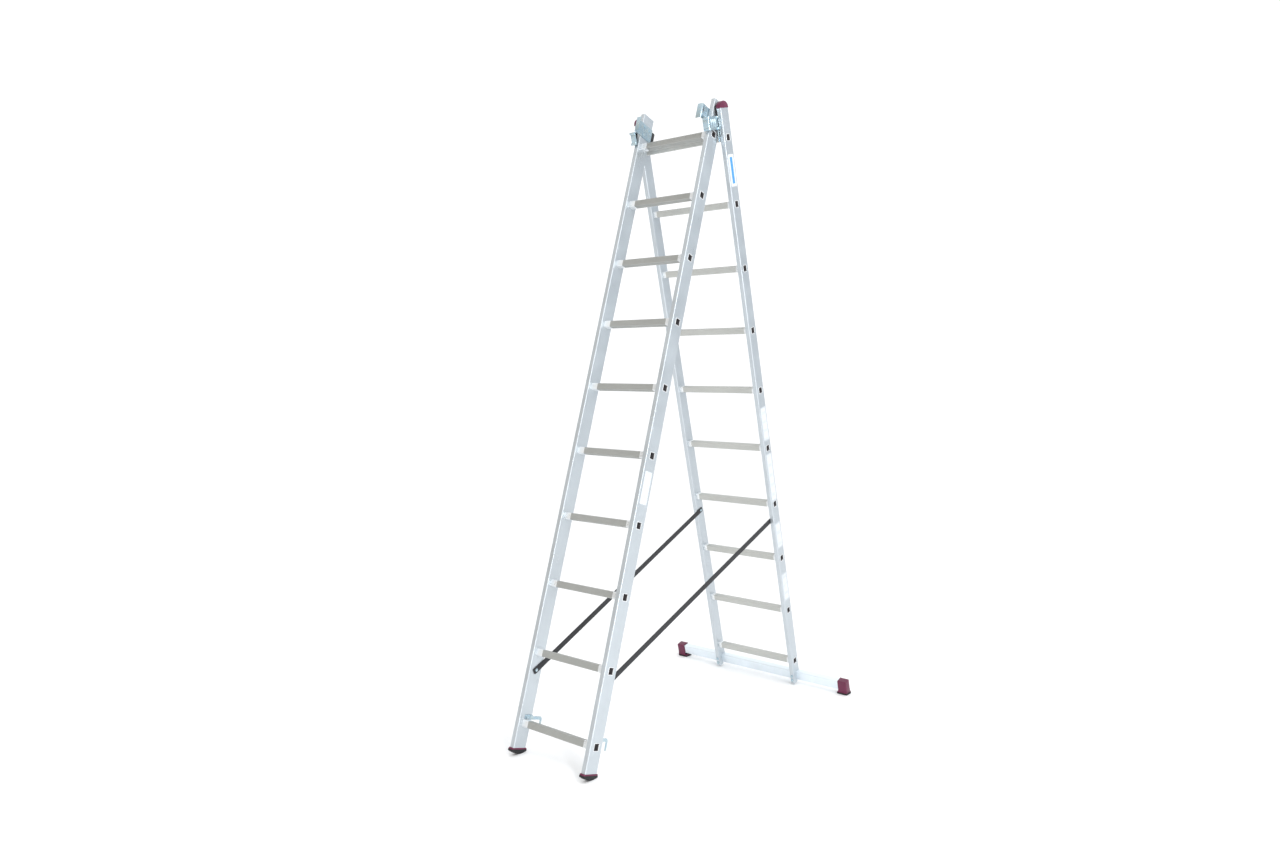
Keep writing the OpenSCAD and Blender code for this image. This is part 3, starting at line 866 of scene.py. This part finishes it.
def hinge_saddle(side, flip):
    """Black saddle over the hinge rung, with a guide block behind the front stile."""
    bm = bmesh.new()
    inner_r = (RUNG / 2 - 0.004) * math.sqrt(2) + 0.004 + 0.0005
    outer_r = min(inner_r + 0.0075, 0.0264)
    block = FRONT_DEPTH / 2 + 0.001
    outline = [(HINGE_BACK + u, HINGE_UP + v) for u, v in bend((0, 0), inner_r, 0, 180, 24)]
    outline += [(HINGE_BACK - outer_r, HINGE_UP), (block, HINGE_UP + 0.004), (block, HINGE_UP + 0.078)]
    outline += [(block + 0.004, HINGE_UP + 0.082), (block + 0.016, HINGE_UP + 0.082)]
    outline += [(block + 0.020, HINGE_UP + 0.078), (block + 0.020, HINGE_UP + 0.034)]
    reach_over = [(HINGE_BACK + u, HINGE_UP + v) for u, v in bend((0, 0), outer_r, 0, 78, 14)]
    outline += reach_over[::-1]
    prism(bm, outline, FRONT_IN - 0.002, FRONT_OUT - 0.002, 0.0012, "X", 2)
    name = "hinge_saddle_" + side
    piece(name, bm, front_place, "top_saddles", black_plastic, (name,), flip)


for side, flip in SIDES:
    guide_bracket(side, flip)
    top_hook_plate(side, flip)
    rung_hook(side, flip)
    hinge_saddle(side, flip)

# ---------------------------------------------------------------- straps


def band(bm, start, length, along, across, out):
    """Flat webbing with a tail past each rivet, a little thicker where its ends are doubled."""
    rings = []
    steps = 260
    for k in range(steps + 1):
        s = -STRAP_TAIL + (length + 2 * STRAP_TAIL) * k / steps
        hem = min(s + STRAP_TAIL, length + STRAP_TAIL - s)
        ripple = 0.00018 * math.sin(s * 900)
        # The taut band is very slightly narrower halfway
        narrowing = 0.02 * math.sin(math.pi * max(0, min(1, s / length)))
        half_width = STRAP_WIDTH / 2 * (1 - narrowing) + ripple
        half_thick = 0.0009 if hem > 0.052 else 0.00099
        if hem < 0.0015:
            half_width -= 0.0015
        ring = []
        for u, v in rounded(2 * half_thick, 2 * half_width, 0.0007, 3):
            ring.append(start + along * s + out * u + across * v)
        rings.append(ring)
    loft(bm, rings)


def stitching(bm, start, length, along, across, out):
    """Rows of stitches on both faces of both doubled ends, each a flat pyramid."""
    rhomb = ((-0.0012, 0), (0, 0.0004), (0.0012, 0), (0, -0.0004))
    for middle in (0.026, length - 0.026):
        for row in (-0.009, 0.009):
            for k in range(11):
                at = start + along * (middle - 0.0175 + 0.0035 * k) + across * row
                for face in (1, -1):
                    corners = [at + along * da + across * dc + out * face * 0.00105 for da, dc in rhomb]
                    verts = [bm.verts.new(p) for p in corners]
                    peak = bm.verts.new(at + out * face * 0.00125)
                    for q in range(4):
                        bm.faces.new((verts[q], verts[(q + 1) % 4], peak))


for side, flip in SIDES:
    sign = -1 if flip else 1
    start = front_place @ Vector((0, 0, STRAP_FRONT)) + Vector((sign * (FRONT_IN - 0.0025), 0, 0))
    end = rear_place @ Vector((0, 0, STRAP_REAR)) + Vector((sign * (REAR_IN - 0.002), 0, 0))
    along = (end - start).normalized()
    across = Vector((1, 0, 0)).cross(along).normalized()
    out = along.cross(across).normalized()
    length = (end - start).length
    bm = bmesh.new()
    band(bm, start, length, along, across, out)
    stitching(bm, start, length, along, across, out)
    weave = woven("webbing_" + side, (0.0165, 0.017, 0.020), along, across)
    name = "strap_" + side
    strap = piece(name, bm, Matrix.Identity(4), "rear_section", weave, (name,))
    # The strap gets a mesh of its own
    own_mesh(strap)

# ---------------------------------------------------------------- rivets and labels


def rivets(name, place, body, heads, r, height):
    """Domed heads that face the middle of the ladder, each with its mandrel dimple, on both sides."""
    bm = bmesh.new()
    dome = 0.0008
    for x, y, z in heads:
        for sign in (1, -1):
            way = Vector((-sign, 0, 0))
            spot = Vector((x * sign, y, z))
            disc(bm, spot, r, height, way, dome)
            disc(bm, spot + way * (height + dome * 0.6), r * 0.34, 0.0005, way, 0.0001, 16)
    piece(name, bm, place, body, zinc, (name,))


# Radius and height of the heads in the steel fittings. Those of the straps are larger
RIVET, RIVET_HEIGHT = 0.005, 0.0016
guide_levels = (guide_bottom + 0.012, guide_top - 0.012)
guide_heads = [(REAR_IN - PLATE, y, z) for y in (-0.014, 0.014) for z in guide_levels]
rivets("guide_bracket_rivets", rear_place, "rear_section", guide_heads, RIVET, RIVET_HEIGHT)
plate_heads = [(FRONT_IN - PLATE, y, z) for y in (-0.020, 0.020) for z in (SPAN + 0.052, SPAN + 0.092)]
rivets("top_hook_plate_rivets", front_place, "front_section", plate_heads, RIVET, RIVET_HEIGHT)
hook_heads = [(FRONT_IN - HOOK, y, 0.025) for y in (0.002, 0.021)]
rivets("rung_hook_rivets", front_place, "front_section", hook_heads, RIVET, RIVET_HEIGHT)
front_heads = [(FRONT_IN - 0.004, 0, STRAP_FRONT)]
rivets("strap_rivets_front", front_place, "front_section", front_heads, 0.007, 0.0022)
rear_heads = [(REAR_IN - 0.0035, 0, STRAP_REAR)]
rivets("strap_rivets_rear", rear_place, "rear_section", rear_heads, 0.007, 0.0020)


def label(name, place, body, x, s0, s1, panels):
    """A thin film with rounded corners on the outside of a right stile."""
    bm = bmesh.new()
    half_y, half_z = 0.022, (s1 - s0) / 2
    outline = rounded(2 * half_y, 2 * half_z, 0.003, 5)
    smaller = rounded(2 * half_y - 0.0003, 2 * half_z - 0.0003, 0.0029, 5)
    loft(bm, [to_x(outline, 0), to_x(outline, 0.00018), to_x(smaller, 0.0003)])
    look = film(name + "_film", half_y, half_z, panels)
    at = place @ Matrix.Translation((x, 0, (s0 + s1) / 2))
    return piece(name, bm, at, body, look, own_axes=True)


# Bottom and top of each rear label up the stile, and how closely its panels follow each other.
# At 0 it has the blue bar
REAR_LABELS = (
    (0.338, 0.476, 150.0),
    (0.617, 0.742, 110.0),
    (0.859, 1.091, 130.0),
    (1.159, 1.318, 150.0),
    (2.315, 2.450, 0.0),
)
for k, (s0, s1, panels) in enumerate(REAR_LABELS, 1):
    label(f"blank_label_{k}", rear_place, "rear_section", REAR_OUT, s0, s1, panels)
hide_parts("labels_rear")
front_label = label("blank_label_front", front_place, "front_section", FRONT_OUT, 0.924, 1.055, 140.0)
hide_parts("label_front")

# ---------------------------------------------------------------- CAD nodes that stay as they are


def repaint(node, look):
    """Gives a CAD node that stays its material."""
    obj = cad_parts[node]
    obj.data.materials.clear()
    obj.data.materials.append(look)


repaint("rear_cap_glides", black_plastic)
repaint("guide_bracket_pads", black_plastic)
repaint("crossbar_bolts", zinc)
